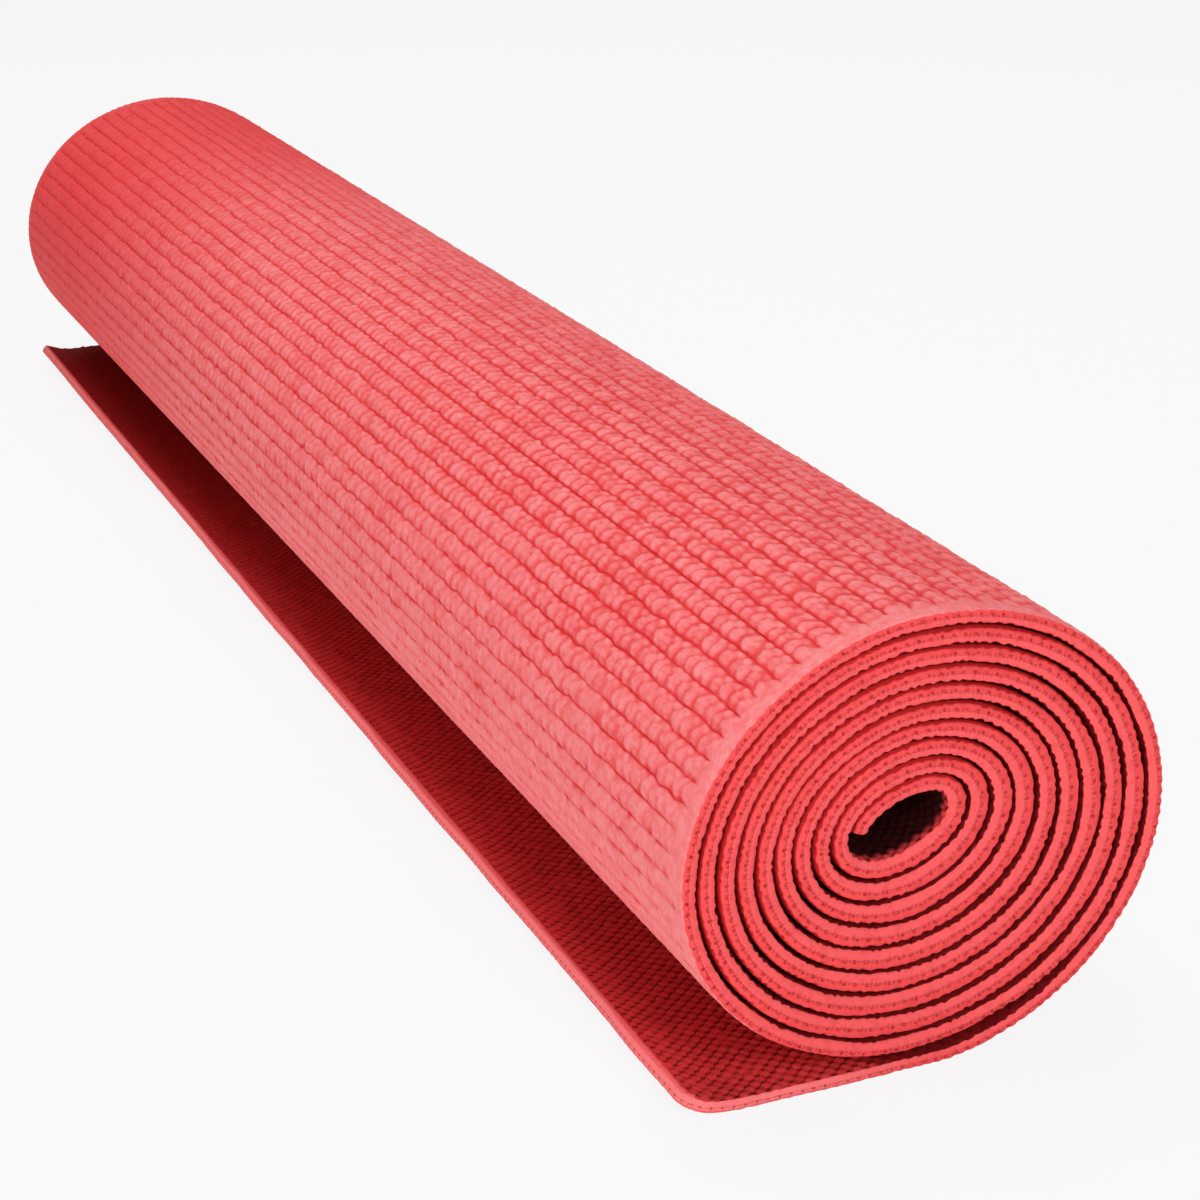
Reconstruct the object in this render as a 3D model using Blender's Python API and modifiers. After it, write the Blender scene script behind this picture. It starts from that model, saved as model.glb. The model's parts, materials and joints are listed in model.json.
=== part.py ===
# A rolled exercise mat, lying on its side with its loose end open on the floor.
# The mat is one laminated sheet: a ribbed foam facing, a thin net, and a waffle
# foam backing. It is wound about X, and the backing is on the inside of the roll.
# Seen from +X the sheet starts at the middle of the roll and winds clockwise.
# Blender 4.5, metres, +Z up. The origin is on the floor under the middle.

import math

import bmesh
import bpy
from mathutils import Vector

# The flat sheet
SHEET_WIDTH = 0.610
BACKING_THICKNESS = 0.0011
NET_THICKNESS = 0.0003
FACING_THICKNESS = 0.0011
BOND_GAP = 0.0003

# The winding. Between two turns there is a different gap on each side of the
# roll, because the turns are slack below and to the right.
TURNS = 9.75
GAP_ABOVE = 0.0006
GAP_BELOW = 0.00185
GAP_RIGHT = 0.0018
GAP_LEFT = 0.00078

# The hollow that the first turn is wound on is a leaning oval. The lean fades
# towards the outermost turn.
HOLLOW_HALF_LENGTH = 0.0081
HOLLOW_HALF_HEIGHT = 0.0032
HOLLOW_LEAN = math.radians(17.0)
OUTER_LEAN = math.radians(10.0)

# The outermost turn is pressed flat where it lies on the floor.
PRESSED_DEPTH = 0.0005

# The loose end leaves the roll at its lowest point, lies flat, and curls up.
FLAP_FLAT_LENGTH = 0.0364
FLAP_CURL_RADIUS = 0.024
FLAP_CURL_ANGLE = math.radians(28.0)

# The loose end bends at lines across the mat, the first a little way out from
# the lowest point. Each line is a narrow cut on the inside of the sheet.
FLAP_ROOT_LENGTH = 0.008
FLAP_STRIPS = 4
FOLD_GAP = 0.0003

# Counts of flat faces on round stretches
FACES_PER_TURN = 30
CURL_FACES = 5

FACING_COLOUR = (0.80, 0.135, 0.130, 1.0)
NET_COLOUR = (0.72, 0.18, 0.17, 1.0)
BACKING_COLOUR = (0.70, 0.085, 0.085, 1.0)
FACING_ROUGHNESS = 0.55
NET_ROUGHNESS = 0.80
BACKING_ROUGHNESS = 0.65
NON_METAL = 0.0

sheet_thickness = BACKING_THICKNESS + NET_THICKNESS + FACING_THICKNESS + 2 * BOND_GAP

# Each layer's name, its distance from the inside of the sheet, its thickness,
# its colour and its roughness
LAYERS = (
    ("backing", 0.0, BACKING_THICKNESS, BACKING_COLOUR, BACKING_ROUGHNESS),
    ("net", BACKING_THICKNESS + BOND_GAP, NET_THICKNESS, NET_COLOUR, NET_ROUGHNESS),
    (
        "facing",
        sheet_thickness - FACING_THICKNESS,
        FACING_THICKNESS,
        FACING_COLOUR,
        FACING_ROUGHNESS,
    ),
)


def clear_scene():
    for item in list(bpy.data.objects):
        bpy.data.objects.remove(item, do_unlink=True)


def make_collection(name):
    collection = bpy.data.collections.new(name)
    bpy.context.scene.collection.children.link(collection)
    return collection


def make_material(name, colour, roughness):
    material = bpy.data.materials.new(name)
    material.use_nodes = True
    shader = material.node_tree.nodes["Principled BSDF"]
    shader.inputs["Base Color"].default_value = colour
    shader.inputs["Roughness"].default_value = roughness
    shader.inputs["Metallic"].default_value = NON_METAL
    material.diffuse_color = colour
    return material


def oval_at(turn):
    """Half length, half height, lean and centre of the winding's oval after some turns."""
    above = turn * (sheet_thickness + GAP_ABOVE)
    below = turn * (sheet_thickness + GAP_BELOW)
    right = turn * (sheet_thickness + GAP_RIGHT)
    left = turn * (sheet_thickness + GAP_LEFT)
    half_length = HOLLOW_HALF_LENGTH + (right + left) / 2
    half_height = HOLLOW_HALF_HEIGHT + (above + below) / 2
    lean = HOLLOW_LEAN + (OUTER_LEAN - HOLLOW_LEAN) * turn / TURNS
    return half_length, half_height, lean, (right - left) / 2, (above - below) / 2


def winding():
    """The inside of the wound sheet as (y, z) points, from its inner end to the lowest point of the roll."""
    length, height, lean, _, centre_z = oval_at(TURNS)
    depth = math.hypot(length * math.sin(lean), height * math.cos(lean))
    end_angle = math.atan2(-height * math.cos(lean), -length * math.sin(lean)) + lean
    hollow_z = sheet_thickness - PRESSED_DEPTH - centre_z + depth
    points = []
    steps = round(TURNS * FACES_PER_TURN)
    for step in range(steps + 1):
        turn = TURNS * step / steps
        length, height, lean, centre_y, centre_z = oval_at(turn)
        angle = end_angle + 2 * math.pi * (TURNS - turn) - lean
        along = length * math.cos(angle)
        across = height * math.sin(angle)
        y = centre_y + along * math.cos(lean) - across * math.sin(lean)
        z = hollow_z + centre_z + along * math.sin(lean) + across * math.cos(lean)
        if turn > TURNS - 1:
            z = max(z, sheet_thickness)
        points.append((y, z))
    return points


def loose_end(start):
    """The inside of the loose end, from the lowest point of the roll to the free edge."""
    start_y, start_z = start
    flat_y = start_y - FLAP_FLAT_LENGTH
    points = [start]
    for step in range(CURL_FACES + 1):
        angle = FLAP_CURL_ANGLE * step / CURL_FACES
        y = flat_y - FLAP_CURL_RADIUS * math.sin(angle)
        z = start_z + FLAP_CURL_RADIUS * (1 - math.cos(angle))
        points.append((y, z))
    return points


def length_of(points):
    return sum(math.dist(a, b) for a, b in zip(points, points[1:]))


def stretch(points, start, end):
    """The part of a line of points between two distances along it."""
    taken = []
    passed = 0.0
    for (y0, z0), (y1, z1) in zip(points, points[1:]):
        step = math.dist((y0, z0), (y1, z1))
        for distance in (start, end):
            if passed <= distance < passed + step:
                share = (distance - passed) / step
                taken.append((y0 + (y1 - y0) * share, z0 + (z1 - z0) * share))
        passed += step
        if start < passed < end:
            taken.append((y1, z1))
    if end >= passed:
        taken.append(points[-1])
    return taken


def outward_steps(points):
    """For each point, the step that moves the line out by one metre and keeps its faces parallel."""
    sides = []
    for (y0, z0), (y1, z1) in zip(points, points[1:]):
        step = math.dist((y0, z0), (y1, z1))
        sides.append(Vector(((z0 - z1) / step, (y1 - y0) / step)))
    steps = [sides[0]]
    for before, after in zip(sides, sides[1:]):
        middle = (before + after) / 2
        steps.append(middle / middle.length_squared)
    steps.append(sides[-1])
    return steps


def moved_out(points, distance):
    return [
        (y + step.x * distance, z + step.y * distance)
        for (y, z), step in zip(points, outward_steps(points))
    ]


def open_surface(name, points, origin):
    """A line of (y, z) points drawn out along the width of the mat, about an origin."""
    mesh = bpy.data.meshes.new(name)
    work = bmesh.new()
    half = SHEET_WIDTH / 2
    row = [work.verts.new((-half, y - origin[0], z - origin[1])) for y, z in points]
    edges = [work.edges.new(pair) for pair in zip(row, row[1:])]
    drawn = bmesh.ops.extrude_edge_only(work, edges=edges)["geom"]
    far = [item for item in drawn if isinstance(item, bmesh.types.BMVert)]
    bmesh.ops.translate(work, verts=far, vec=(SHEET_WIDTH, 0, 0))
    work.faces.ensure_lookup_table()
    work.normal_update()
    first_side = outward_steps(points)[0]
    faces_out = Vector((0, first_side.x, first_side.y))
    if row[0].link_faces[0].normal.dot(faces_out) < 0:
        bmesh.ops.reverse_faces(work, faces=work.faces)
    work.to_mesh(mesh)
    work.free()
    mesh.shade_smooth()
    mesh.set_sharp_from_angle(angle=math.radians(35.0))
    return mesh


def make_layers(prefix, points, origin, parent, collection, materials):
    """One solid for each layer of the laminate along a stretch of the sheet."""
    for name, depth, thickness, _, _ in LAYERS:
        node = f"{prefix}_{name}"
        mesh = open_surface(node, moved_out(points, depth), origin)
        mesh.materials.append(materials[name])
        piece = bpy.data.objects.new(node, mesh)
        collection.objects.link(piece)
        if parent is None:
            piece.location = (0, origin[0], origin[1])
        else:
            piece.parent = parent
        wall = piece.modifiers.new("thickness", "SOLIDIFY")
        wall.thickness = thickness
        wall.offset = 1.0
        wall.use_even_offset = True


def make_fold(name, at, parent, parent_at, collection):
    """An empty on a fold line of the loose end, held by the fold before it."""
    fold = bpy.data.objects.new(name, None)
    fold.empty_display_type = "SINGLE_ARROW"
    fold.empty_display_size = sheet_thickness
    collection.objects.link(fold)
    if parent is None:
        fold.location = (0, at[0], at[1])
    else:
        fold.parent = parent
        fold.location = (0, at[0] - parent_at[0], at[1] - parent_at[1])
    return fold


def centred(points):
    """The same line, moved along Y so that the whole sheet's sides lie evenly about the origin."""
    whole = points + moved_out(points, sheet_thickness)
    middle = (min(y for y, _ in whole) + max(y for y, _ in whole)) / 2
    return [(y - middle, z) for y, z in points]


def least_gap(points):
    """The least distance between one turn's outside and the inside of the next."""
    outside = moved_out(points, sheet_thickness)
    least = math.inf
    for index in range(FACES_PER_TURN, len(points)):
        inner = Vector(points[index])
        near = range(max(0, index - FACES_PER_TURN - 3), index - FACES_PER_TURN + 3)
        for other in near:
            start = Vector(outside[other])
            side = Vector(outside[other + 1]) - start
            share = max(0.0, min(1.0, (inner - start).dot(side) / side.length_squared))
            least = min(least, (inner - start - side * share).length)
    return least


def build_mat():
    clear_scene()
    collection = make_collection("rolled_mat")
    materials = {}
    for name, _, _, colour, roughness in LAYERS:
        materials[name] = make_material(name, colour, roughness)

    wound = winding()
    inside = centred(wound + loose_end(wound[-1])[1:])
    wound = inside[: len(wound)]
    lowest = length_of(wound)
    free_edge = length_of(inside)
    first_fold = lowest + FLAP_ROOT_LENGTH
    strip = (free_edge - first_fold) / FLAP_STRIPS

    roll = stretch(inside, 0.0, first_fold - FOLD_GAP / 2)
    make_layers("roll", roll, (0.0, 0.0), None, collection, materials)

    fold = None
    fold_at = None
    for number in range(FLAP_STRIPS):
        start = first_fold + strip * number
        end = start + strip
        at = stretch(inside, start, end)[0]
        fold = make_fold(f"fold_{number + 1}", at, fold, fold_at, collection)
        fold_at = at
        last = number == FLAP_STRIPS - 1
        cut = 0.0 if last else FOLD_GAP / 2
        points = stretch(inside, start + FOLD_GAP / 2, end - cut)
        make_layers(f"flap_{number + 1}", points, at, fold, collection, materials)
        print("fold", number + 1, "at y, z", round(at[0], 6), round(at[1], 6))

    middle = moved_out(inside, sheet_thickness / 2)
    print("sheet length", round(length_of(middle), 4), "width", SHEET_WIDTH)
    print("least gap between turns", round(least_gap(wound), 6))


build_mat()
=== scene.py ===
import json
import math

import bmesh
import bpy
import numpy as np
from mathutils import Matrix, Vector


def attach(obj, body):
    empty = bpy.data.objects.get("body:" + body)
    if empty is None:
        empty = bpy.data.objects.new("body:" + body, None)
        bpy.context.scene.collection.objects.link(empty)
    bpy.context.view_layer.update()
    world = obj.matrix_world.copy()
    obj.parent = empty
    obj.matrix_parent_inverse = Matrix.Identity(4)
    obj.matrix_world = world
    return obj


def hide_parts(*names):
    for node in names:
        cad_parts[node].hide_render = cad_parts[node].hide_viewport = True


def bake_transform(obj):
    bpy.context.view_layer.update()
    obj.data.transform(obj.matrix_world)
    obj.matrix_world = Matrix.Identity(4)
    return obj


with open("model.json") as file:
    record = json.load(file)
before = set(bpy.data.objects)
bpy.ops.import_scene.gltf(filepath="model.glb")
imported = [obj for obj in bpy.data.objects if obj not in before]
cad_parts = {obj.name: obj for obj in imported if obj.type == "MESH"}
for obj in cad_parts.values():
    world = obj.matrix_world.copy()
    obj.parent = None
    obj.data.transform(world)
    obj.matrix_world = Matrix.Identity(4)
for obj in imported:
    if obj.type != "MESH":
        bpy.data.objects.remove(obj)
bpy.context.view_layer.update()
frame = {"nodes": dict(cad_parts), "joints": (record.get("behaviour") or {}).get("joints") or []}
print("frame loaded, nodes:", len(frame["nodes"]))

# small distances: a point less than touch from an edge lies on it
touch = 2e-6
hair = 1e-6
speck = 1e-7

mat = {
    "width": 0.610,
    "thickness": 0.0031,
    "turns": 9.75,
    # the slack between two turns, on each side of the roll
    "gapAbove": 0.0006,
    "gapBelow": 0.00185,
    "gapRight": 0.0018,
    "gapLeft": 0.00078,
    # the first turn is wound on a leaning oval
    "hollowHalfLength": 0.0081,
    "hollowHalfHeight": 0.0032,
    "hollowLean": math.radians(17.0),
    "outerLean": math.radians(10.0),
    "pressedDepth": 0.0005,  # the outermost turn is pressed flat where it lies
    "floorGap": 0.00002,
    "stepsPerTurn": 360,
    "marksPerTurn": 100,
}

looseEnd = {
    "rootLength": 0.008,  # from the lowest point of the roll to the first fold
    "flatLength": 0.0364,
    "flatSteps": 80,
    "curlRadius": 0.024,
    "meanCurl": math.radians(28.0),
    "nearCurl": math.radians(21.0),
    "farCurl": math.radians(34.0),
    "curlRange": (-0.20, 0.33),  # how far towards the far end the curl starts to grow, and stops
    "curlSway": 0.05,
    "farLift": 0.0007,  # the far corner stands off the floor
    "liftRange": (0.02, 0.33),
    "liftRun": 0.004,
    "cornerRound": 0.0055,
    "strips": 4,
    "seamInset": 0.0004,  # how far inside its seams the two points of a strip lie; they are found but not used
    "lastBend": 0.95,  # the share of a strip's length at which the last strip's second point lies; it is found but not used
    "hiddenCuts": 50,  # lines across the faces that show no pattern
}

thick = mat["thickness"]
halfWidth = mat["width"] / 2


def ovalAt(turn):  # half length, half height, lean and centre
    above = turn * (thick + mat["gapAbove"])
    below = turn * (thick + mat["gapBelow"])
    right = turn * (thick + mat["gapRight"])
    left = turn * (thick + mat["gapLeft"])
    halfLength = mat["hollowHalfLength"] + (right + left) / 2
    halfHeight = mat["hollowHalfHeight"] + (above + below) / 2
    lean = mat["hollowLean"] + (mat["outerLean"] - mat["hollowLean"]) * turn / mat["turns"]
    return halfLength, halfHeight, lean, (right - left) / 2, (above - below) / 2


def windingLine():  # the middle of the sheet, from its inner end to the start of the curl
    turns = mat["turns"]
    length, height, lean, _, centreZ = ovalAt(turns)
    depth = math.hypot(length * math.sin(lean), height * math.cos(lean))
    endAngle = math.atan2(-height * math.cos(lean), -length * math.sin(lean)) + lean
    hollowZ = thick - mat["pressedDepth"] - centreZ + depth
    turn = np.linspace(0.0, turns, round(turns * mat["stepsPerTurn"]) + 1)
    length, height, lean, centreY, centreZ = ovalAt(turn)
    angle = endAngle + 2 * math.pi * (turns - turn) - lean
    along, across = length * np.cos(angle), height * np.sin(angle)
    y = centreY + along * np.cos(lean) - across * np.sin(lean)
    z = hollowZ + centreZ + along * np.sin(lean) + across * np.cos(lean)
    z = np.where(turn > turns - 1, np.maximum(z, thick), z)
    lowestY = frame["joints"][0]["pos_m"][1] + looseEnd["rootLength"]
    y += lowestY - y[-1]
    flat = np.linspace(0.0, looseEnd["flatLength"], looseEnd["flatSteps"])[1:]
    y = np.concatenate([y, lowestY - flat])
    z = np.concatenate([z, np.full(len(flat), thick)])
    stepY, stepZ = np.gradient(y), np.gradient(z)
    size = np.hypot(stepY, stepZ)
    outY, outZ = -stepZ / size, stepY / size
    y, z = y + outY * thick / 2, z + outZ * thick / 2
    s = np.concatenate([[0.0], np.cumsum(np.hypot(np.diff(y), np.diff(z)))])
    marks = np.arange(round(turns * mat["marksPerTurn"]) + 1) / mat["marksPerTurn"]
    return {
        "s": s,
        "y": y,
        "z": z,
        "outY": outY,
        "outZ": outZ,
        "marks": np.interp(marks, turn, s[: len(turn)]),
        "lowest": s[len(turn) - 1],
    }


line = windingLine()
lowest = line["lowest"]
curlStart = line["s"][-1]
curlLength = (looseEnd["curlRadius"] + thick / 2) * looseEnd["meanCurl"]
sheetLength = curlStart + curlLength
print("sheet length", round(sheetLength, 4), "lowest point at", round(lowest, 4))

# the size of what varies, across and along the mat or in ribs, and its seed
patches = {
    "curl": (0.07, 1.0, 3.0),
    "groove": (0.004, 1.0, 5.0),
    "pad place": (0.0055, 0.0065, 6.0),
    "scallop place": (0.0052, 1.0, 9.0),
    "scallop depth": (0.0037, 1.0, 10.0),
    "band": (0.0045, 1.0, 11.0),
    "rib place": (0.0036, 0.008, 13.0),
    "row place": (0.01, 0.01, 13.0),
    "side cut": (0.018, 1.0, 14.0),
    "cut grain": (0.0008, 0.0005, 15.0),
    "end cut": (0.02, 1.0, 16.0),
    "pressed": (0.012, 0.012, 17.0),
    "broken groove": (0.003, 1 / 1.3, 18.0),
    "pad height": (0.016, 0.011, 19.0),
    "grain": (0.0009, 0.0009, 20.0),
    "pit floor": (0.0011, 0.0011, 21.0),
    "scale middle": (1 / 0.7, 1.0, 22.0),
    "dents": (0.0017, 0.0013, 23.0),
    "nub place": (0.004, 0.004, 24.0),
    "swell": (0.010, 1.0, 25.0),
}


def scatter(i, j, seed):  # a repeatable number from 0 to 1 for each whole i and j
    value = np.sin(i * 12.9898 + j * 78.233 + seed * 37.719) * 43758.5453
    return value - np.floor(value)


def varied(name, u, v):  # smooth noise from -1 to 1
    sizeU, sizeV, seed = patches[name]
    u, v = u / sizeU, v / sizeV
    column, row = np.floor(u), np.floor(v)
    a, b = u - column, v - row
    a, b = a * a * (3 - 2 * a), b * b * (3 - 2 * b)

    def corner(i, j):
        return scatter(column + i, row + j, seed)

    low = corner(0, 0) * (1 - a) + corner(1, 0) * a
    high = corner(0, 1) * (1 - a) + corner(1, 1) * a
    return (low * (1 - b) + high * b) * 2 - 1


def smooth(value, low, high):
    t = np.clip((value - low) / (high - low), 0.0, 1.0)
    return t * t * (3 - 2 * t)


def dome(away):
    return np.sqrt(np.clip(1 - away, 0.0, 1.0))


def ridge(away):
    return np.exp(-(away**2))


def roundCorners(x, s):  # pulls the two corners of the free edge in
    inX = np.maximum(looseEnd["cornerRound"] - (halfWidth - np.abs(x)), 0.0)
    inS = np.maximum(looseEnd["cornerRound"] - (sheetLength - s), 0.0)
    share = np.maximum(inX, inS) / np.maximum(np.hypot(inX, inS), speck)
    share = np.where((inX > 0) & (inS > 0), share, 1.0) - 1.0
    return x + np.sign(x) * inX * share, s + inS * share


def rollUp(x, s, h):  # the place of points of the flat mat
    x, s = roundCorners(x, s)
    lift = h - thick / 2
    inside = np.minimum(s, curlStart)
    keys = ("y", "z", "outY", "outZ")
    y, z, outY, outZ = (np.interp(inside, line["s"], line[key]) for key in keys)
    past = np.maximum(s - curlStart, 0.0)
    grown = (looseEnd["farCurl"] - looseEnd["nearCurl"]) * smooth(-x, *looseEnd["curlRange"])
    curl = looseEnd["nearCurl"] + grown
    curl = curl * (1 + looseEnd["curlSway"] * varied("curl", x, 0 * x))
    bend = curl / curlLength
    angle = past * bend
    y = y - np.where(past > 0, np.sin(angle) / bend, 0.0)
    z = z + np.where(past > 0, (1 - np.cos(angle)) / bend, 0.0)
    turnedY = outY * np.cos(angle) + outZ * np.sin(angle)
    turnedZ = outZ * np.cos(angle) - outY * np.sin(angle)
    lifted = smooth(-x, *looseEnd["liftRange"]) * smooth(s, lowest, curlStart + looseEnd["liftRun"])
    return x, y + turnedY * lift, z + turnedZ * lift + looseEnd["farLift"] * lifted


pads = {  # the ribbed outer face
    "ribPitch": 0.0048,
    "flapPitch": 0.00505,
    "flapStart": 0.003,  # the loose end's pitch starts this far past the lowest point
    "count": 147,  # pads across the width, between the two rims
    "crown": 0.00024,  # how much each rib is higher along its middle
    "height": 0.00082,
    "floor": 0.46,  # share of the pads' height that fills the pits
    "floorGrain": 0.06,
    "sway": 0.20,
    "patchy": 0.18,
    "grain": 0.00006,
    "wander": 0.00034,
    "proud": 0.00007,
    "ribLines": (0.0, 0.055, 0.14, 0.25, 0.37, 0.49, 0.61, 0.73, 0.84, 0.945),
    "underLines": (0.0, 0.25, 0.5, 0.75),
    # pads counted from the camera's end, and the lines cut across each
    "density": ((44, 8), (42, 6), (61, 4)),
}

scales = {  # in pad pitches along a rib, and in rib pitches across it
    "middle": 0.38,
    "middleSway": 0.05,
    "bow": 0.36,  # how far a scale's ends trail its round back, at the bow's reach
    "bowReach": 0.38,
    "jitter": 0.36,
    "peak": 0.30,
    "steep": 0.26,
    "gentle": 0.84,
    "reach": 0.50,
    "least": 0.78,
    "spread": 0.36,
    "lobeMean": 0.92,
    "lobeSwing": 0.12,
    "lobes": 3.1,
}

knobs = {  # small ones beside the scales, measured as they are
    "shift": 0.45,
    "jitter": 0.30,
    "middle": 0.84,
    "middleSway": 0.06,
    "halfLength": 0.52,
    "reach": 0.20,
    "least": 0.66,
    "spread": 0.34,
}

grooves = {  # between the ribs, reaching a share of a rib
    "depth": 0.00026,
    "reach": 0.045,
    "mean": 0.7,
    "sway": 0.3,
    "brokenLeast": 0.25,
    "brokenFrom": (-0.1, 0.5),
    "shade": 0.45,
}

dents = {  # beside the grooves, where the pads are pressed
    "depth": 0.00010,
    "reach": 0.30,
    "from": (0.20, 0.70),
    "shade": 0.55,
}

wear = {
    "turn": 8.70,  # where the outermost wrap, which is handled, starts
    "pressedRange": (0.050, 0.150),  # past that start the pads are pressed flat, up to here
    "firmMore": 0.12,
    "firmSway": 0.12,
    "firmLeast": 0.10,
    "awayRange": (-0.10, 0.25),  # x where the pads are at their softest, and at their crispest
    "awaySofter": 0.20,
    # painted shade on pressed pads, growing away from the lit end
    "awayShade": 0.20,
    "crownLeast": 0.4,
    "lowShade": 0.30,  # painted shade on the side of a pressed rib where its scales were, the side turned from the light
    "lowRange": (0.25, 0.60),
    "pitShade": 1.05,
}

waffle = {  # the fine inner face, in nub pitches
    "count": 198,
    "rowsPerRib": 3,
    "depth": 0.00062,
    "mean": 0.75,
    "sway": 0.16,
    "halfWidth": 0.43,
    "halfLength": 0.68,
    "least": 0.70,
    "spread": 0.42,
    "wander": 0.0002,
    "ribLines": tuple(n / 9 for n in range(9)),
    "coreLines": tuple(n / 6 for n in range(6)),
    "lines": (0.0, 0.25, 0.5, 0.75),
    "heartTurns": 0.97,  # the turn that shows in the hollow
    "paleRun": 0.012,  # the length past the roll over which painted shade on the nubs' tops fades out
}

rim = {  # the pressed band beside each cut edge, and the cut itself
    "zone": 0.008,
    "facingBand": 0.0022,
    "facingFade": 0.0046,
    "bandSway": 0.0011,
    "backingBand": 0.0001,
    "backingFade": 0.0003,
    "endBand": 0.0009,
    "endRange": (-0.006, -0.003),
    "pressed": 0.00018,
    "rise": 0.9,
    "swell": (0.345, 0.425),  # share of the gap between turns that each face fills, above and below
    "swellSway": 0.25,
    "swellFade": 0.05,
    "shoulder": 0.0008,
    "shoulderPower": 1.5,
    "drop": 0.00024,
    "scallop": 0.00062,
    "scallopPitch": 0.0023,
    "scallopSway": 2.6,
    "scallopReach": 0.0014,
    "facingSide": 0.0,
    "backingSide": 1.9,  # so that the scallops of the two faces don't match
    "denseDeep": 0.6,
    "endDeep": 0.02,
    "bulge": 0.00040,
    "bulgeAt": 0.10,
    "bulgeSpread": 0.9,
    "bond": 0.000006,
    "bondShare": 0.01,
    "cutOnSkin": 0.75,
    "wanderRange": (0.0005, 0.006),
    "wanderRun": 0.002,
    "wobble": 0.00034,
    "grain": 0.00009,
    "denseLines": (
        (0.0, 0.00012, 0.00035, 0.0007, 0.0011, 0.0016, 0.0022, 0.0029, 0.0036)
        + (0.0043, 0.005, 0.0057, 0.0064, 0.0072, 0.008)
    ),
    "endLines": 9,  # how many of the dense lines are used at the two ends of the mat
    "endClear": 0.0002,
    "coarseLines": (0.0, 0.0002, 0.0006, 0.0012, 0.0022, 0.008),
    "wallCuts": 3,
}

middleHalf = halfWidth - rim["zone"]
padPitch = 2 * middleHalf / pads["count"]
nubPitch = 2 * middleHalf / waffle["count"]
ribPitch = pads["ribPitch"]
bondAt = thick / 2
bondGap = 0.00006  # room for the net between the foam layers
wrapRibs = round((lowest + pads["flapStart"]) / ribPitch)
wrapEnd = wrapRibs * ribPitch
flapRibs = math.floor((sheetLength - wrapEnd) / pads["flapPitch"])
flapPitch = (sheetLength - wrapEnd) / flapRibs


def ribOf(s):
    return np.where(s <= wrapEnd, s / ribPitch, wrapRibs + (s - wrapEnd) / flapPitch) + hair


def sOfRib(rib):
    return np.where(rib <= wrapRibs, rib * ribPitch, wrapEnd + (rib - wrapRibs) * flapPitch)


def onRib(s):
    return float(sOfRib(np.round(ribOf(s))))


def sAtTurn(turn):
    return line["marks"][round(turn * mat["marksPerTurn"])]


heartEnd = onRib(sAtTurn(waffle["heartTurns"]))
wornStart = onRib(sAtTurn(wear["turn"]))


def edgeDistance(x, s):
    return np.minimum(halfWidth - np.abs(x), np.minimum(s, sheetLength - s))


def scaleHeight(q, v, rib):  # each scale has its round back to the far end
    middle = scales["middle"] + scales["middleSway"] * varied("scale middle", rib, 0 * q)
    along = q - scales["bow"] * ((v - middle) / scales["bowReach"]) ** 2
    high = 0.0
    for step in (-1, 0, 1):
        pad = np.floor(along) + step
        front = along - pad + scales["jitter"] * (scatter(pad, rib, 4.0) - 0.5)
        run = np.where(front < scales["peak"], scales["steep"], scales["gentle"])
        size = scales["least"] + scales["spread"] * scatter(pad, rib, 3.0)
        wave = np.cos(2 * math.pi * (scales["lobes"] * v + scatter(pad, rib, 5.0)))
        size = size * (scales["lobeMean"] + scales["lobeSwing"] * wave)
        off = ((front - scales["peak"]) / run) ** 2 + ((v - middle) / scales["reach"]) ** 2
        high = np.maximum(high, size * dome(off))
    return high


def knobHeight(q, v, rib):
    q = q + knobs["shift"]
    high = 0.0
    for step in (-1, 0, 1):
        knob = np.floor(q) + step
        centre = knob + 0.5 + knobs["jitter"] * (scatter(knob, rib, 1.0) - 0.5)
        middle = knobs["middle"] + knobs["middleSway"] * (scatter(knob, rib, 2.0) - 0.5)
        off = ((q - centre) / knobs["halfLength"]) ** 2 + ((v - middle) / knobs["reach"]) ** 2
        size = knobs["least"] + knobs["spread"] * scatter(knob, rib, 7.0)
        high = np.maximum(high, size * dome(off))
    return high


def firmness(x, s):  # low on the left the pads have been pressed flat
    first, last = wear["pressedRange"]
    firm = np.where(s > wornStart, smooth(s, wornStart + first, wornStart + last), 1.0)
    firm = firm + wear["firmMore"] + wear["firmSway"] * varied("pressed", x, s)
    return np.clip(firm, wear["firmLeast"], 1.0)


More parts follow.
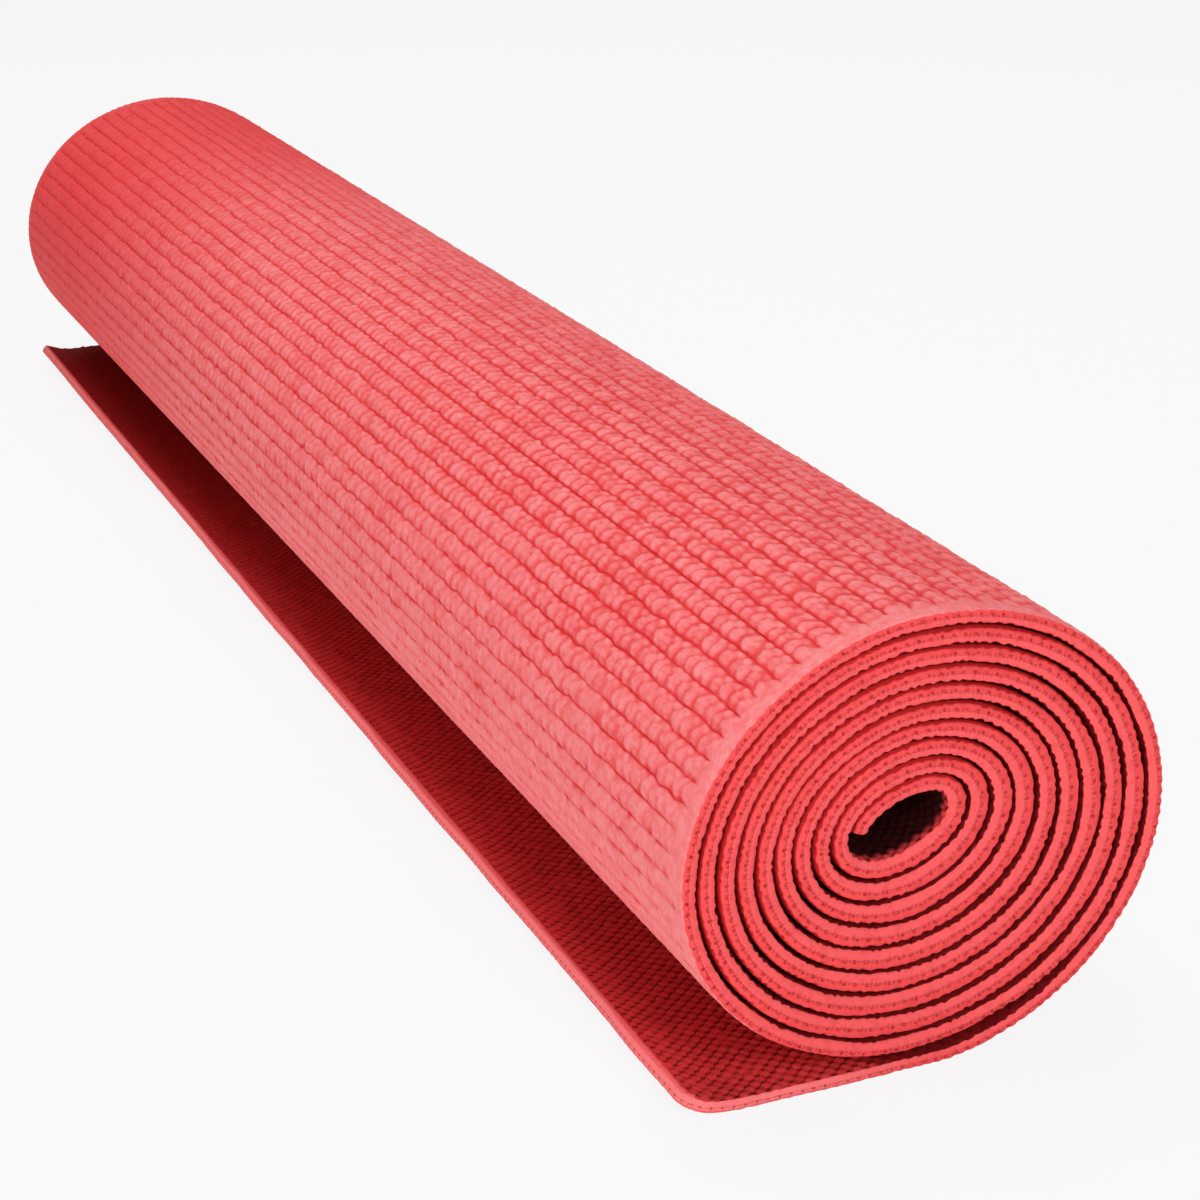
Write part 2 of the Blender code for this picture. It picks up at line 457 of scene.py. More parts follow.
def padRelief(x, s):  # the outer face's height over its mean top, and 0 to 1 from groove to top, which sets the painted shade of its dips
    rib = np.floor(ribOf(s))
    v = ribOf(s) - rib
    toGroove = np.minimum(v, 1 - v)
    q = (x + middleHalf) / padPitch + pads["sway"] * varied("pad place", x, s)
    high = pads["floor"] + pads["floorGrain"] * varied("pit floor", x, s)
    high = np.maximum(high, np.maximum(scaleHeight(q, v, rib), knobHeight(q, v, rib)))
    crown = pads["crown"] * (1 - (2 * v - 1) ** 2)
    firm = firmness(x, s)
    pressed = 1 - firm
    away = 1 - smooth(x, *wear["awayRange"])
    firm = firm * (1 - wear["awaySofter"] * away)
    groove = grooves["mean"] + grooves["sway"] * varied("groove", x, rib)
    groove = groove * ridge(toGroove / grooves["reach"])
    # only broken grooves are left where the pads are pressed
    broken = smooth(varied("broken groove", x, rib), *grooves["brokenFrom"])
    broken = grooves["brokenLeast"] + (1 - grooves["brokenLeast"]) * broken
    groove = groove * (firm + (1 - firm) * broken)
    dent = smooth(varied("dents", x, s), *dents["from"]) * ridge(toGroove / dents["reach"])
    dent = dent * pressed
    patchy = 1 - pads["patchy"] * (1 - varied("pad height", x, s))
    height = pads["height"] * firm * patchy * (high - 1.0)
    height = height + crown * (wear["crownLeast"] + (1 - wear["crownLeast"]) * firm)
    height = height - pads["crown"] - grooves["depth"] * groove - dents["depth"] * dent
    height = height + pads["grain"] * varied("grain", x, s) + pads["proud"]
    # painted shade: the colour darkens in pits, grooves and dents, on one side of pressed ribs, and
    # on pressed pads away from the lit end
    low = wear["lowShade"] * (1 - firm) * (1 - smooth(v, *wear["lowRange"]))
    low = low + wear["awayShade"] * away * pressed
    rise = 1 - wear["pitShade"] * firm * (wear["pitShade"] - high) - low
    rise = rise - grooves["shade"] * groove - dents["shade"] * dent
    return height, np.clip(rise, 0.0, 1.0)


def nubRelief(x, s):  # the inner face's height over its mean top, and 0 to 1 from dip to nub, which sets the painted shade of its dips
    row = np.floor(waffle["rowsPerRib"] * ribOf(s))
    v = waffle["rowsPerRib"] * ribOf(s) - row
    q = (x + middleHalf) / nubPitch + 0.5 * np.mod(row, 2)
    q = q + waffle["sway"] * varied("nub place", x, s)
    high = 0.0
    for step in (-1, 0, 1):  # nubs of this row and the two beside it, in diagonal lines
        shifted = q + 0.5 * step
        nub = np.floor(shifted + hair)
        off = ((shifted - nub - 0.5) / waffle["halfWidth"]) ** 2
        off = off + ((v - 0.5 - step) / waffle["halfLength"]) ** 2
        size = waffle["least"] + waffle["spread"] * scatter(nub, row + step, 4.0)
        high = np.maximum(high, size * dome(off))
    return waffle["depth"] * (high - waffle["mean"]), np.clip(high, 0.0, 1.0)


def cutWobble(s):  # how far the side cuts wander from straight
    return rim["wobble"] * varied("side cut", s, 0 * s + 1)


def endWobble(x):
    return rim["wobble"] * varied("end cut", x, 0 * x)


def edgeShape(x, s, edge, side, deep):  # how far a face drops near a cut edge
    where = s + x
    sway = rim["scallopSway"] * varied("scallop place", where, 0 * x + side)
    wave = 0.5 + 0.5 * np.cos(2 * math.pi * where / rim["scallopPitch"] + sway + side)
    wave = wave * (0.5 + 0.5 * varied("scallop depth", where, 0 * x + 2 * side))
    drop = rim["drop"] * (1 - smooth(edge, 0.0, rim["shoulder"])) ** rim["shoulderPower"]
    deep = deep * (1 - 0.5 * smooth(s, lowest, lowest + rim["endDeep"]))
    return drop + rim["scallop"] * deep * wave * ridge(edge / rim["scallopReach"])


def swell(s):  # inside the roll the foam stands out into the gap before the next turn
    outY = np.interp(s, line["s"], line["outY"])
    outZ = np.interp(s, line["s"], line["outZ"])
    closer, looser = rim["swell"]
    upright = np.where(outZ > 0, closer * mat["gapAbove"], looser * mat["gapBelow"]) * outZ**2
    level = np.where(outY > 0, looser * mat["gapRight"], closer * mat["gapLeft"]) * outY**2
    return (upright + level) * (1 + rim["swellSway"] * varied("swell", s, 0 * s))


def crossLines(dense):
    left = -halfWidth + np.array(rim["denseLines"] if dense else rim["coarseLines"])
    return np.concatenate([left, -left[::-1]])


def lengthLines(start, end, fractions):
    ribs = np.arange(math.floor(ribOf(start)), math.ceil(ribOf(end)) + 1)
    lines = sOfRib((ribs[:, None] + np.array(fractions)[None, :]).ravel())
    lines = lines[(lines >= start - speck) & (lines < end - hair)]
    lines = np.append(lines, end)
    opening = np.array(rim["denseLines"][: rim["endLines"]])
    closing = sheetLength - opening[::-1]
    if end > sheetLength - hair:
        lines = np.concatenate([lines[lines < closing[0] - rim["endClear"]], closing])
    if start < hair:
        lines = np.concatenate([opening, lines[lines > opening[-1] + rim["endClear"]]])
    return lines


def slabMesh(xLines, sLines, low, high):
    across, along = len(xLines) - 1, len(sLines) - 1
    work = bmesh.new()
    bmesh.ops.create_grid(work, x_segments=across, y_segments=along, size=0.5)
    for vert in work.verts:
        i, j = round((vert.co.x + 0.5) * across), round((vert.co.y + 0.5) * along)
        vert.co = (xLines[i], sLines[j], low)
    drawn = bmesh.ops.extrude_face_region(work, geom=work.faces[:])["geom"]
    upper = [item for item in drawn if isinstance(item, bmesh.types.BMVert)]
    bmesh.ops.translate(work, verts=upper, vec=(0, 0, high - low))
    bmesh.ops.recalc_face_normals(work, faces=work.faces[:])
    return work


def isLong(edge):
    return abs(edge.verts[0].co.x - edge.verts[1].co.x) > middleHalf


def showsPattern(edge, level):  # it is on the embossed face, or on the cut at an end of the mat
    onLevel = max(abs(v.co.z - level) for v in edge.verts) < speck
    atFreeEdge = min(v.co.y for v in edge.verts) > sheetLength - hair
    return onLevel or atFreeEdge or max(v.co.y for v in edge.verts) < hair


def cutSlab(work, level, cuts, otherCuts):
    walls = [e for e in work.edges if abs(e.verts[0].co.z - e.verts[1].co.z) > hair]
    bmesh.ops.subdivide_edges(work, edges=walls, cuts=rim["wallCuts"], use_grid_fill=True)
    if cuts:
        shown = [e for e in work.edges if isLong(e) and showsPattern(e, level)]
        bmesh.ops.subdivide_edges(work, edges=shown, cuts=cuts)
    if otherCuts:  # the loose end isn't straight across, so its hidden faces follow it too
        hidden = [e for e in work.edges if isLong(e)]
        bmesh.ops.subdivide_edges(work, edges=hidden, cuts=otherCuts)


def toMesh(work, name):
    mesh = bpy.data.meshes.new(name)
    work.to_mesh(mesh)
    work.free()
    return mesh


def linked(name, data):
    item = bpy.data.objects.new(name, data)
    bpy.context.scene.collection.objects.link(item)
    return item


def patternLines(isFacing, under):  # where the lines across the middle fall
    if not isFacing:
        cells = [nub + np.array(waffle["lines"]) for nub in range(waffle["count"])]
    elif under:
        cells = [pad + np.array(pads["underLines"]) for pad in range(pads["count"])]
    else:
        cells, last = [], pads["count"]
        for count, parts in pads["density"]:
            cells = [pad + np.arange(parts) / parts for pad in range(last - count, last)] + cells
            last -= count
    pitch = padPitch if isFacing else nubPitch
    return np.append(np.concatenate(cells) * pitch, 2 * middleHalf) - middleHalf


def alignedTo(x, places):  # moves evenly cut lines onto a pattern's own lines
    share = (x + middleHalf) / (2 * middleHalf)
    which = np.clip(np.round(share * (len(places) - 1)), 0, len(places) - 1).astype(int)
    return np.where(np.abs(x) < middleHalf - speck, places[which], x)


def faceRelief(x, s, edge, isFacing, dense):  # its height, and 0 to 1 from dip to top
    if isFacing:
        relief, rise = padRelief(x, s)
        band = rim["facingBand"] + rim["bandSway"] * varied("band", s + x, 0 * s)
        fade, level, side = rim["facingFade"], -rim["pressed"], rim["facingSide"]
        swellEnd = wornStart
    else:
        relief, rise = nubRelief(x, s)
        first, last = rim["endRange"]
        band = rim["endBand"] * smooth(s, sheetLength + first, sheetLength + last)
        band = rim["backingBand"] + band
        fade, level, side = rim["backingFade"], 0.0, rim["backingSide"]
        swellEnd = lowest
    inward = smooth(edge, band, band + fade)
    relief = relief * inward + level * (1 - inward)
    relief = relief - edgeShape(x, s, edge, side, rim["denseDeep"] if isFacing and dense else 1.0)
    relief = relief + swell(s) * smooth(swellEnd - s, 0.0, rim["swellFade"])
    return relief, rise * inward + rim["rise"] * (1 - inward)


def sheetPoints(mesh):
    co = np.zeros(len(mesh.vertices) * 3)
    mesh.vertices.foreach_get("co", co)
    return co.reshape(-1, 3).T.copy()


def setPlaces(mesh, rolled, flat):  # the materials use a point's place on the flat mat
    mesh.vertices.foreach_set("co", np.stack(rolled, 1).ravel())
    layer = mesh.attributes.new("flat", "FLOAT_VECTOR", "POINT")
    layer.data.foreach_set("vector", np.stack(flat, 1).astype(np.float32).ravel())


def makeLayer(name, start, end, dense):
    isFacing, under = name.startswith("facing"), name.startswith("facing_flap")
    fractions = waffle["ribLines" if dense else "coreLines"]
    if isFacing and dense:
        fractions = pads["underLines" if under else "ribLines"]
    low, high = (bondAt + bondGap, thick) if isFacing else (0.0, bondAt - bondGap)
    skin, bond, out = (high, low, 1.0) if isFacing else (low, high, -1.0)
    places = patternLines(isFacing, under)
    work = slabMesh(crossLines(dense), lengthLines(start, end, fractions), low, high)
    otherCuts = looseEnd["hiddenCuts"] if end > wrapEnd + touch else 0
    cutSlab(work, skin, len(places) - 2 if dense else 0, otherCuts)
    mesh = toMesh(work, name)
    x, s, h = sheetPoints(mesh)
    onSkin = np.abs(h - skin) < speck
    atEnd = (s > sheetLength - touch) | (s < touch)
    if dense:
        x = np.where(onSkin | atEnd, alignedTo(x, places), x)
    edge = edgeDistance(x, s)
    onWall = edge < touch
    relief, rise = faceRelief(x, s, edge, isFacing, dense)
    if not dense:  # only seen deep in the gaps between turns, so they take the dip colour all over: painted shade in the gaps
        rise = 0.0 * rise
    # painted shade on the waffle face's nub tops next to the roll, fading out past it
    elif not isFacing and start > heartEnd:
        rise = rise * smooth(s, wrapEnd, wrapEnd + waffle["paleRun"])
    share = np.clip((h - bond) / (skin - bond), 0.0, 1.0)
    if isFacing:
        sway = pads["wander"] * varied("rib place", x, s)
    else:
        sway = waffle["wander"] * varied("row place", x, s)
    sway = sway * smooth(edge, *rim["wanderRange"]) * share
    sway = sway * smooth(np.minimum(s - start, end - s), 0.0, rim["wanderRun"])
    shapedH = h + out * share * relief
    atBond = onWall & (share < rim["bondShare"])
    shapedH = np.where(atBond, bondAt + out * rim["bond"], shapedH)
    bulge = rim["bulge"] * np.clip(1 - (share - rim["bulgeAt"]) ** 2 / rim["bulgeSpread"], 0, 1)
    grain = rim["grain"] * varied("cut grain", s, h)
    sideways = np.sign(x) * (bulge + cutWobble(s) + grain)
    shapedX = np.where(np.abs(x) > halfWidth - touch, x + sideways, x)
    endways = np.sign(s - sheetLength / 2) * (bulge + endWobble(x))
    shapedS = s + sway + np.where(atEnd, endways, 0.0)
    px, py, pz = rollUp(shapedX, shapedS, shapedH)
    setPlaces(mesh, (px, py, np.maximum(pz, mat["floorGap"])), (x, s, shapedH))
    cut = np.where(onWall, np.where(onSkin, rim["cutOnSkin"], 1.0), 0.0)
    for key, value in (("rise", rise), ("cut", cut)):
        layer = mesh.attributes.new(key, "FLOAT", "POINT")
        layer.data.foreach_set("value", np.asarray(value, np.float32))
    mesh.update()
    mesh.shade_smooth()
    # the ends where one piece meets the next shade as if the sheet went on
    isSeam = (np.abs(s - start) < touch) & (start > touch)
    isSeam = isSeam | (np.abs(s - end) < touch) & (end < sheetLength - touch)
    ends = np.zeros(len(mesh.edges) * 2, np.int32)
    mesh.edges.foreach_get("vertices", ends)
    sharp = mesh.attributes.new("sharp_edge", "BOOLEAN", "EDGE")
    sharp.data.foreach_set("value", isSeam[ends].reshape(-1, 2).all(1))
    mesh.materials.append(facingFoam if isFacing else backingFoam)
    return linked(name, mesh)


net = {
    "thickness": 0.00008,
    "pitch": 0.0024,
    "yarnWidth": 0.0005,
    "yarnHeight": 0.00030,
    "standsOut": 0.00006,
    "inset": 0.0002,
    "clear": 0.00001,
    "bulgeShare": 0.9,
    "rollCuts": 4,
}


def netLines(start, end):  # each yarn has a line on both sides, and one between it and the next
    first, last = math.floor(start / net["pitch"]) - 1, math.ceil(end / net["pitch"]) + 1
    middles = np.arange(first, last + 1) * net["pitch"]
    half = net["yarnWidth"] / 2
    lines = np.sort(np.concatenate([middles - half, middles + half, middles + net["pitch"] / 2]))
    lines = lines[(lines > start + net["clear"]) & (lines < end - net["clear"])]
    return np.concatenate([[start], lines, [end]])


def nearYarn(value):
    away = abs(value / net["pitch"] - round(value / net["pitch"])) * net["pitch"]
    return away < net["yarnWidth"] / 2 - hair


def makeNet(name, start, end):
    atFreeEdge = end > sheetLength - hair
    wide = halfWidth - net["inset"]
    if atFreeEdge:
        xLines, sLines = netLines(-wide, wide), netLines(start, end - net["inset"])
    else:
        cuts = looseEnd["hiddenCuts"] if end > wrapEnd + touch else net["rollCuts"]
        xLines, sLines = np.linspace(-wide, wide, cuts), netLines(start, end)
    work = slabMesh(xLines, sLines, bondAt - net["thickness"] / 2, bondAt + net["thickness"] / 2)
    # the yarns' cut ends stand out of the foam
    yarnEnds = []
    for face in work.faces:
        middle, normal = face.calc_center_median(), face.normal
        isSide, isEnd = abs(normal.x) > 0.5, atFreeEdge and normal.y > 0.5
        if isSide and nearYarn(middle.y) or isEnd and nearYarn(middle.x):
            yarnEnds.append(face)
    for face in bmesh.ops.extrude_discrete_faces(work, faces=yarnEnds)["faces"]:
        middle, normal = face.calc_center_median(), face.normal
        wobble = cutWobble(middle.y) if abs(normal.x) > 0.5 else endWobble(middle.x)
        away = net["inset"] + net["standsOut"] + net["bulgeShare"] * rim["bulge"] + float(wobble)
        for vert in face.verts:
            vert.co += normal * away
            vert.co.z = bondAt + (vert.co.z - bondAt) * net["yarnHeight"] / net["thickness"]
    mesh = toMesh(work, name)
    flat = sheetPoints(mesh)
    setPlaces(mesh, rollUp(*flat), flat)
    mesh.update()
    mesh.materials.append(netYarn)
    return linked(name, mesh)


class Wire:  # one output of a shader node, used in Python expressions
    def __init__(self, tree, socket=None):
        self.tree = tree
        self.socket = socket

    def node(self, kind, settings=None, inputs=None, out=0):
        made = self.tree.nodes.new(kind)
        for key, value in (settings or {}).items():
            setattr(made, key, value)
        for key, value in (inputs or {}).items():
            if isinstance(value, Wire):
                self.tree.links.new(value.socket, made.inputs[key])
            else:
                made.inputs[key].default_value = value
        return Wire(self.tree, made.outputs[out])

    def join(self, operation, *values):
        return self.node("ShaderNodeMath", {"operation": operation}, dict(enumerate(values)))

    def __add__(self, other):
        return self.join("ADD", self, other)

    __radd__ = __add__

    def __sub__(self, other):
        return self.join("SUBTRACT", self, other)

    def __rsub__(self, other):
        return self.join("SUBTRACT", other, self)

    def __mul__(self, other):
        return self.join("MULTIPLY", self, other)

    __rmul__ = __mul__

    def __truediv__(self, other):
        return self.join("DIVIDE", self, other)

    def __rtruediv__(self, other):
        return self.join("DIVIDE", other, self)

    def __abs__(self):
        return self.join("ABSOLUTE", self)

    def cosine(self):
        return self.join("COSINE", self)

    def least(self, other):
        return self.join("MINIMUM", self, other)

    def mix(self, first, second, factor):  # from the first colour to the second
        inputs = {0: factor, 6: first, 7: second}
        return self.node("ShaderNodeMix", {"data_type": "RGBA"}, inputs, out=2)

    def step(self, low, high):  # 0 below low, 1 above high
        inputs = {"Value": self, "From Min": low, "From Max": high}
        return self.node("ShaderNodeMapRange", {"interpolation_type": "SMOOTHSTEP"}, inputs)

    def attribute(self, name, out):
        return self.node("ShaderNodeAttribute", {"attribute_name": name}, out=out)

    def flatInMm(self):
        inputs = {0: self.attribute("flat", 1), "Scale": 1000.0}
        return self.node("ShaderNodeVectorMath", {"operation": "SCALE"}, inputs)

    def grain(self, place, scale, detail=2.0):
        inputs = {"Vector": place, "Scale": scale, "Detail": detail}
        return self.node("ShaderNodeTexNoise", {}, inputs)

    def bump(self, height, strength, distance):
        inputs = {"Strength": strength, "Distance": distance, "Height": height}
        return self.node("ShaderNodeBump", {}, inputs)


foam = {  # for both layers, in millimetres on the flat mat
    "mottle": 0.06,  # scale of the noise, as are the next three
    "clump": 0.45,
    "speckle": 1.1,
    "fine": 3.2,
    "topFrom": (0.02, 0.70),
    # where the painted highlight sits on the tops, and how it clumps
    "handledFrom": (0.20, 0.85),
    "handledSpeckle": 0.5,
    "handledClump": 0.8,
    "mottleFrom": (0.45, 0.75),
    # painted shade inside the hollow of the roll
    "hollowTone": (0.012, 0.0008, 0.0008, 1.0),
    "hollowEnds": (60.0, 78.0),
    "hollowRim": (302.5, 304.9),
    # painted shade, darker towards the far end
    "farShade": (-300.0, 120.0),
    "farShadeMost": 0.75,
    "pitsFrom": (0.50, 0.60),
    "yarnPitch": 2.4,
    "yarnFrom": (0.45, 0.9),
    "yarnHalf": (0.06, 0.34),
    "dashPitch": 0.96,
    "dashFrom": (-0.2, 0.8),
    "dashAt": 1.6,
    "dashHalf": (0.20, 0.85),
    "dashSpeckle": (0.35, 0.60),
    "pitShare": 0.22,
    "dotShare": 1.3,
    "dashShare": 0.38,
    "edgeFrom": (1796.3, 1797.6),  # the free edge of the waffle face, where a highlight is painted
    "endFrom": (1740.0, 1780.0),  # the cut of the loose end, whose upper part gets a painted highlight
    "endDepth": (2.0, 2.6),
    "cutFrom": (0.25, 0.85),
    "roughGrain": 0.16,
    "riseSmoother": 0.05,
    # how far each noise and the marks of the net stand out in the bump, which is 0.2 mm
    "fineHeight": 0.35,
    "speckleHeight": 0.8,
    "markDepth": 1.5,
    "dashDepth": 0.6,
    "bumpDistance": 0.0002,
}


def newMaterial(name):
    material = bpy.data.materials.new(name)
    material.use_nodes = True
    return material, material.node_tree


def foamMaterial(name, look):
    material, tree = newMaterial(name)
    start = Wire(tree)
    rise, cut = start.attribute("rise", 2), start.attribute("cut", 2)
    inMm = start.flatInMm()
    across, along, depth = (
        start.node("ShaderNodeSeparateXYZ", {}, {0: inMm}, out=n) for n in range(3)
    )
    mottle = start.grain(inMm, foam["mottle"], 3.0)
    clump = start.grain(inMm, foam["clump"])
    speckle = start.grain(inMm, foam["speckle"], 3.0)
    fine = start.grain(inMm, foam["fine"])
    # the embossed face
    # painted shade: the dips take the darker groove colour
    skin = start.mix(look["groove"], look["top"], rise.step(*foam["topFrom"]))
    # painted highlight: the tops turn paler towards the lit end, in speckled clumps
    highlight = across.step(look["wornFrom"], look["wornTo"])
    highlight = highlight * (1.0 - look["wornLeast"]) + look["wornLeast"]
    highlight = highlight * rise.step(*foam["handledFrom"])
    highlight = highlight * (speckle * foam["handledSpeckle"] + clump * foam["handledClump"])
    skin = start.mix(skin, look["worn"], (highlight * look["wornShare"]).least(1.0))
    skin = start.mix(skin, look["groove"], mottle.step(*foam["mottleFrom"]) * look["mottle"])
    if look["hollow"]:
        # painted shade inside the hollow of the roll
        inside = 1.0 - along.step(*foam["hollowEnds"])
        inside = inside * (1.0 - abs(across).step(*foam["hollowRim"]))
        # painted shade, darker towards the far end
        far = 1.0 - across.step(*foam["farShade"])
        skin = start.mix(skin, look["groove"], far * foam["farShadeMost"])
        skin = start.mix(skin, foam["hollowTone"], inside * look["hollow"])
    # painted highlight along the free edge of the waffle face, as if the top light caught it
    skin = start.mix(skin, look["freeEdge"], along.step(*foam["edgeFrom"]) * look["edgeShare"])
    # the cut, with pits in the foam and the ends of the net's yarns
    diagonal = (along + across) * (2 * math.pi)
    pits = (clump * 0.5 + speckle * 0.5).step(*foam["pitsFrom"])
    dots = (diagonal / foam["yarnPitch"]).cosine().step(*foam["yarnFrom"])
    dots = dots * (1.0 - abs(depth - look["yarnAt"]).step(*foam["yarnHalf"]))
    dashes = (diagonal / foam["dashPitch"]).cosine().step(*foam["dashFrom"])
    dashes = dashes * (1.0 - abs(depth - foam["dashAt"]).step(*foam["dashHalf"]))
    dashes = dashes * speckle.step(*foam["dashSpeckle"])
    marks = pits * foam["pitShare"] + dots * clump * foam["dotShare"] + dashes * foam["dashShare"]
    cutTone = start.mix(look["cut"], look["cutPit"], marks.least(1.0))
    # painted highlight on the upper part of the loose end's cut
    atEnd = along.step(*foam["endFrom"]) * (1.0 - depth.step(*foam["endDepth"]))
    cutTone = start.mix(cutTone, look["freeEdge"], atEnd)
    colour = start.mix(skin, cutTone, cut.step(*foam["cutFrom"]))
    rough = fine * foam["roughGrain"] + look["roughness"] - rise * foam["riseSmoother"]
    height = fine * foam["fineHeight"] + speckle * foam["speckleHeight"] + clump
    height = height - (dots + dashes * foam["dashDepth"]) * cut * foam["markDepth"]
    shader = tree.nodes["Principled BSDF"]
    tree.links.new(colour.socket, shader.inputs["Base Color"])
    tree.links.new(rough.socket, shader.inputs["Roughness"])
    bump = start.bump(height, look["bump"], foam["bumpDistance"])
    tree.links.new(bump.socket, shader.inputs["Normal"])
    shader.inputs["Specular IOR Level"].default_value = look["specular"]
    return material


facingLook = {
    "top": (0.80, 0.036, 0.038, 1.0),
    # the colour of the dips: the foam's red darkened by painted shade
    "groove": (0.66, 0.020, 0.022, 1.0),
    # painted highlight: the pale veil of light on the pads' tops
    "worn": (0.88, 0.240, 0.245, 1.0),
    "wornShare": 1.25,
    "wornLeast": 0.22,
    # millimetres across, where the painted highlight starts to grow, and is at its most
    "wornFrom": -260.0,
    "wornTo": -20.0,
    "mottle": 0.15,
    "cut": (0.83, 0.070, 0.073, 1.0),
    "cutPit": (0.46, 0.013, 0.015, 1.0),
    # painted highlight for the loose end's cut
    "freeEdge": (0.90, 0.185, 0.190, 1.0),
    "edgeShare": 0.0,
    "yarnAt": 1.95,
    "hollow": 0.0,
    "roughness": 0.60,
    "specular": 0.18,
    "bump": 0.75,
}

backingLook = {
    # darker than the ribbed face's top: partly the waffle face's own deeper red, partly painted
    # shade of the roll over the loose end
    "top": (0.56, 0.032, 0.034, 1.0),
    # the colour of the dips: the foam's red darkened by painted shade
    "groove": (0.17, 0.005, 0.006, 1.0),
    # painted highlight on the nubs' tops, brighter towards the lit end
    "worn": (0.72, 0.062, 0.066, 1.0),
    "wornShare": 0.8,
    "wornLeast": 0.0,
    "wornFrom": -290.0,
    "wornTo": 250.0,
    "mottle": 0.12,
    "cut": (0.86, 0.104, 0.108, 1.0),
    "cutPit": (0.60, 0.030, 0.033, 1.0),
    # painted highlight for the loose end's edge and cut
    "freeEdge": (0.90, 0.185, 0.190, 1.0),
    "edgeShare": 0.8,  # how far the edge of the waffle face takes the painted highlight of the free edge
    "yarnAt": 9.0,  # above the layer, so that it has no yarns
    "hollow": 0.96,  # how far painted shade darkens the inside of the first turn
    "roughness": 0.70,
    "specular": 0.12,
    "bump": 0.5,
}

netLook = {
    "yarn": (0.60, 0.030, 0.034, 1.0),
    "shadow": (0.40, 0.014, 0.016, 1.0),
    "strands": 5.0,
    "strandsFrom": (0.35, 0.65),
    "roughness": 0.7,
    "bump": 0.5,
    "bumpDistance": 0.0001,
}


def netMaterial():
    material, tree = newMaterial("net yarn")
    start = Wire(tree)
    strands = start.grain(start.flatInMm(), netLook["strands"])
    colour = start.mix(netLook["shadow"], netLook["yarn"], strands.step(*netLook["strandsFrom"]))
    bump = start.bump(strands, netLook["bump"], netLook["bumpDistance"])
    shader = tree.nodes["Principled BSDF"]
    tree.links.new(colour.socket, shader.inputs["Base Color"])
    tree.links.new(bump.socket, shader.inputs["Normal"])
    shader.inputs["Roughness"].default_value = netLook["roughness"]
    return material


netYarn = netMaterial()
facingFoam = foamMaterial("ribbed foam", facingLook)
backingFoam = foamMaterial("waffle foam", backingLook)

wrapCount = 7
firstFold = lowest + looseEnd["rootLength"]
strip = (sheetLength - firstFold) / looseEnd["strips"]
flapSeams = [wrapEnd]
flapSeams += [onRib(firstFold + strip * (n + 0.5)) for n in range(looseEnd["strips"] - 1)]
flapSeams += [sheetLength]
wrapSeams = [onRib(wornStart + (wrapEnd - wornStart) * n / wrapCount) for n in range(wrapCount + 1)]


def pointAt(s):
    _, y, z = rollUp(np.array([0.0]), np.array([s]), np.array([thick / 2]))
    return (0.0, float(y[0]), float(z[0]))


def putOnRoll(piece, layer, length):
    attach(piece, "roll")
    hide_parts(f"roll_{layer}")
    print("made", piece.name, len(piece.data.polygons))


def putOnFlap(piece, layer, number):
    start, end = flapSeams[number - 1], flapSeams[number]
    closing = end - looseEnd["seamInset"]
    if number == looseEnd["strips"]:
        closing = start + strip * looseEnd["lastBend"]
    opening = start + looseEnd["seamInset"]
    pointAt(opening)
    pointAt(closing)
    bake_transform(piece)
    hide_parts(f"flap_{number}_{layer}")
    end - start
    print("made", piece.name, len(piece.data.polygons))


rollLayers = [
    # name, start, end, and whether its embossing shows
    ("facing_core", 0.0, wornStart, False),
    ("backing_heart", 0.0, heartEnd, True),
    ("backing_core", heartEnd, wrapEnd, False),
]
for n in range(wrapCount):
    rollLayers.append((f"facing_wrap_{n + 1}", wrapSeams[n], wrapSeams[n + 1], True))
for name, start, end, dense in rollLayers:
    putOnRoll(makeLayer(name, start, end, dense), name.split("_")[0], end - start)
for number in range(1, looseEnd["strips"] + 1):
    for layer in ("facing", "backing"):
        name = f"{layer}_flap_{number}"
        putOnFlap(makeLayer(name, flapSeams[number - 1], flapSeams[number], True), layer, number)
putOnRoll(makeNet("net_roll", 0.0, wrapEnd), "net", wrapEnd)
for number in range(1, looseEnd["strips"] + 1):
    strand = makeNet(f"net_flap_{number}", flapSeams[number - 1], flapSeams[number])
    putOnFlap(strand, "net", number)

studio = {
    "floorSize": 6.0,
    "floorTone": 0.955,
    "floorReflects": 0.88,
    "floorGlow": 0.93,
    "skyTone": 0.14,
    # name, place, target, width, height, watts
    "lamps": (
        ("front", (1.5, 0.15, 0.75), (0.2, 0.0, 0.05), 0.8, 0.8, 11.8),
        ("top", (-0.08, -0.05, 1.2), (0.0, 0.0, 0.05), 0.8, 0.8, 8.8),
        ("low left", (0.8, -1.25, 0.16), (0.2, 0.0, 0.06), 1.2, 0.2, 9.6),
        ("back", (-0.9, 0.1, 0.95), (0.1, 0.0, 0.05), 0.8, 0.8, 2.2),
    ),
    "eye": (0.734219, -0.232636, 0.279410),
    "right": (0.373927, 0.926905, -0.032026),
    "forward": (-0.873592, 0.340403, -0.347796),
    "lens": 84.45,
    "sensor": 36.0,
    "clipStart": 0.01,
}


def grey(tone):
    return (tone, tone, tone, 1.0)


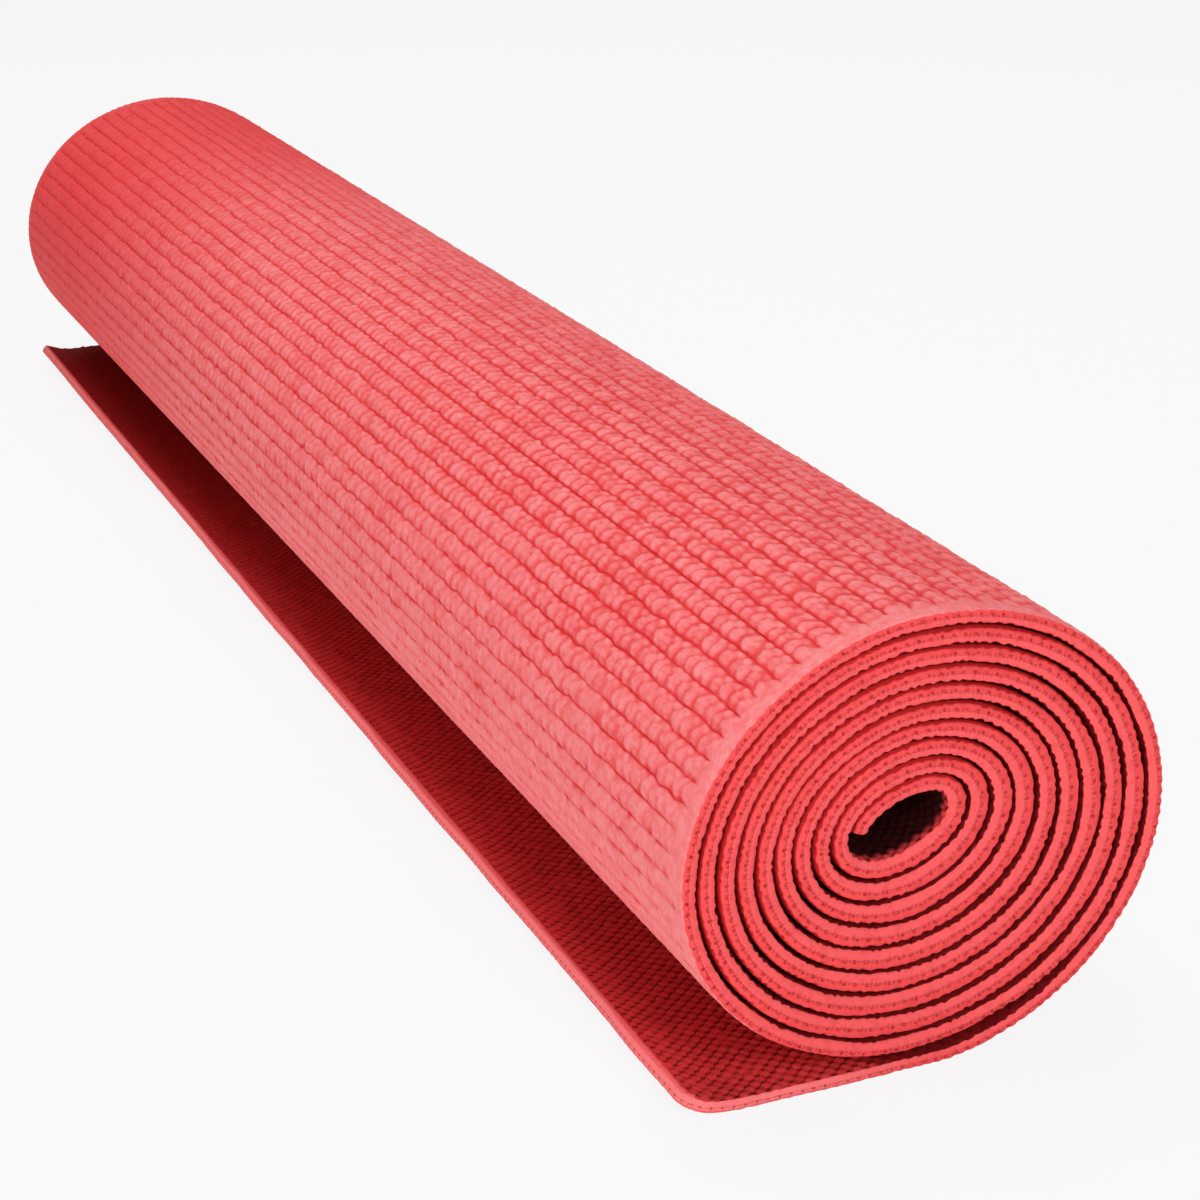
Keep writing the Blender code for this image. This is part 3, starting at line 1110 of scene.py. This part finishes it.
def makeFloor():
    work = bmesh.new()
    bmesh.ops.create_grid(work, x_segments=4, y_segments=4, size=studio["floorSize"])
    mesh = toMesh(work, "floor")
    floor = linked("floor", mesh)
    material, tree = newMaterial("pale floor")
    start = Wire(tree)
    seen = start.node("ShaderNodeLightPath")
    lit = start.node("ShaderNodeBsdfDiffuse", {}, {"Color": grey(studio["floorReflects"])})
    glowing = {"Color": grey(studio["floorTone"]), "Strength": 1.0}
    glow = start.node("ShaderNodeEmission", {}, glowing)
    mixed = start.node("ShaderNodeMixShader", {}, {0: seen * studio["floorGlow"], 1: lit, 2: glow})
    tree.links.new(mixed.socket, tree.nodes["Material Output"].inputs["Surface"])
    mesh.materials.append(material)


def makeSky():
    world = bpy.data.worlds.new("studio")
    bpy.context.scene.world = world
    world.use_nodes = True
    tree = world.node_tree
    start = Wire(tree)
    seen = start.node("ShaderNodeLightPath")
    light, wall = (
        start.node("ShaderNodeBackground", {}, {"Color": grey(studio[key]), "Strength": 1.0})
        for key in ("skyTone", "floorTone")
    )
    mixed = start.node("ShaderNodeMixShader", {}, {0: seen, 1: light, 2: wall})
    tree.links.new(mixed.socket, tree.nodes["World Output"].inputs["Surface"])


def makeLamp(name, place, target, width, height, watts):
    lamp = bpy.data.lights.new(name, "AREA")
    lamp.shape = "RECTANGLE"
    lamp.size = width
    lamp.size_y = height
    lamp.energy = watts
    holder = linked(name, lamp)
    holder.location = place
    holder.rotation_euler = (Vector(target) - Vector(place)).to_track_quat("-Z", "Y").to_euler()


def makeCamera():
    data = bpy.data.cameras.new("camera")
    data.lens = studio["lens"]
    data.sensor_width = studio["sensor"]
    data.clip_start = studio["clipStart"]
    camera = linked("camera", data)
    camera.rotation_mode = "QUATERNION"
    forward = Vector(studio["forward"]).normalized()
    right = Vector(studio["right"])
    right = (right - forward * right.dot(forward)).normalized()
    turned = Matrix((right, right.cross(forward), -forward)).transposed().to_4x4()
    turned.translation = studio["eye"]
    camera.matrix_world = turned
    bpy.context.scene.camera = camera


makeFloor()
makeSky()
for lampValues in studio["lamps"]:
    makeLamp(*lampValues)
makeCamera()
bpy.context.scene.view_settings.view_transform = "Standard"
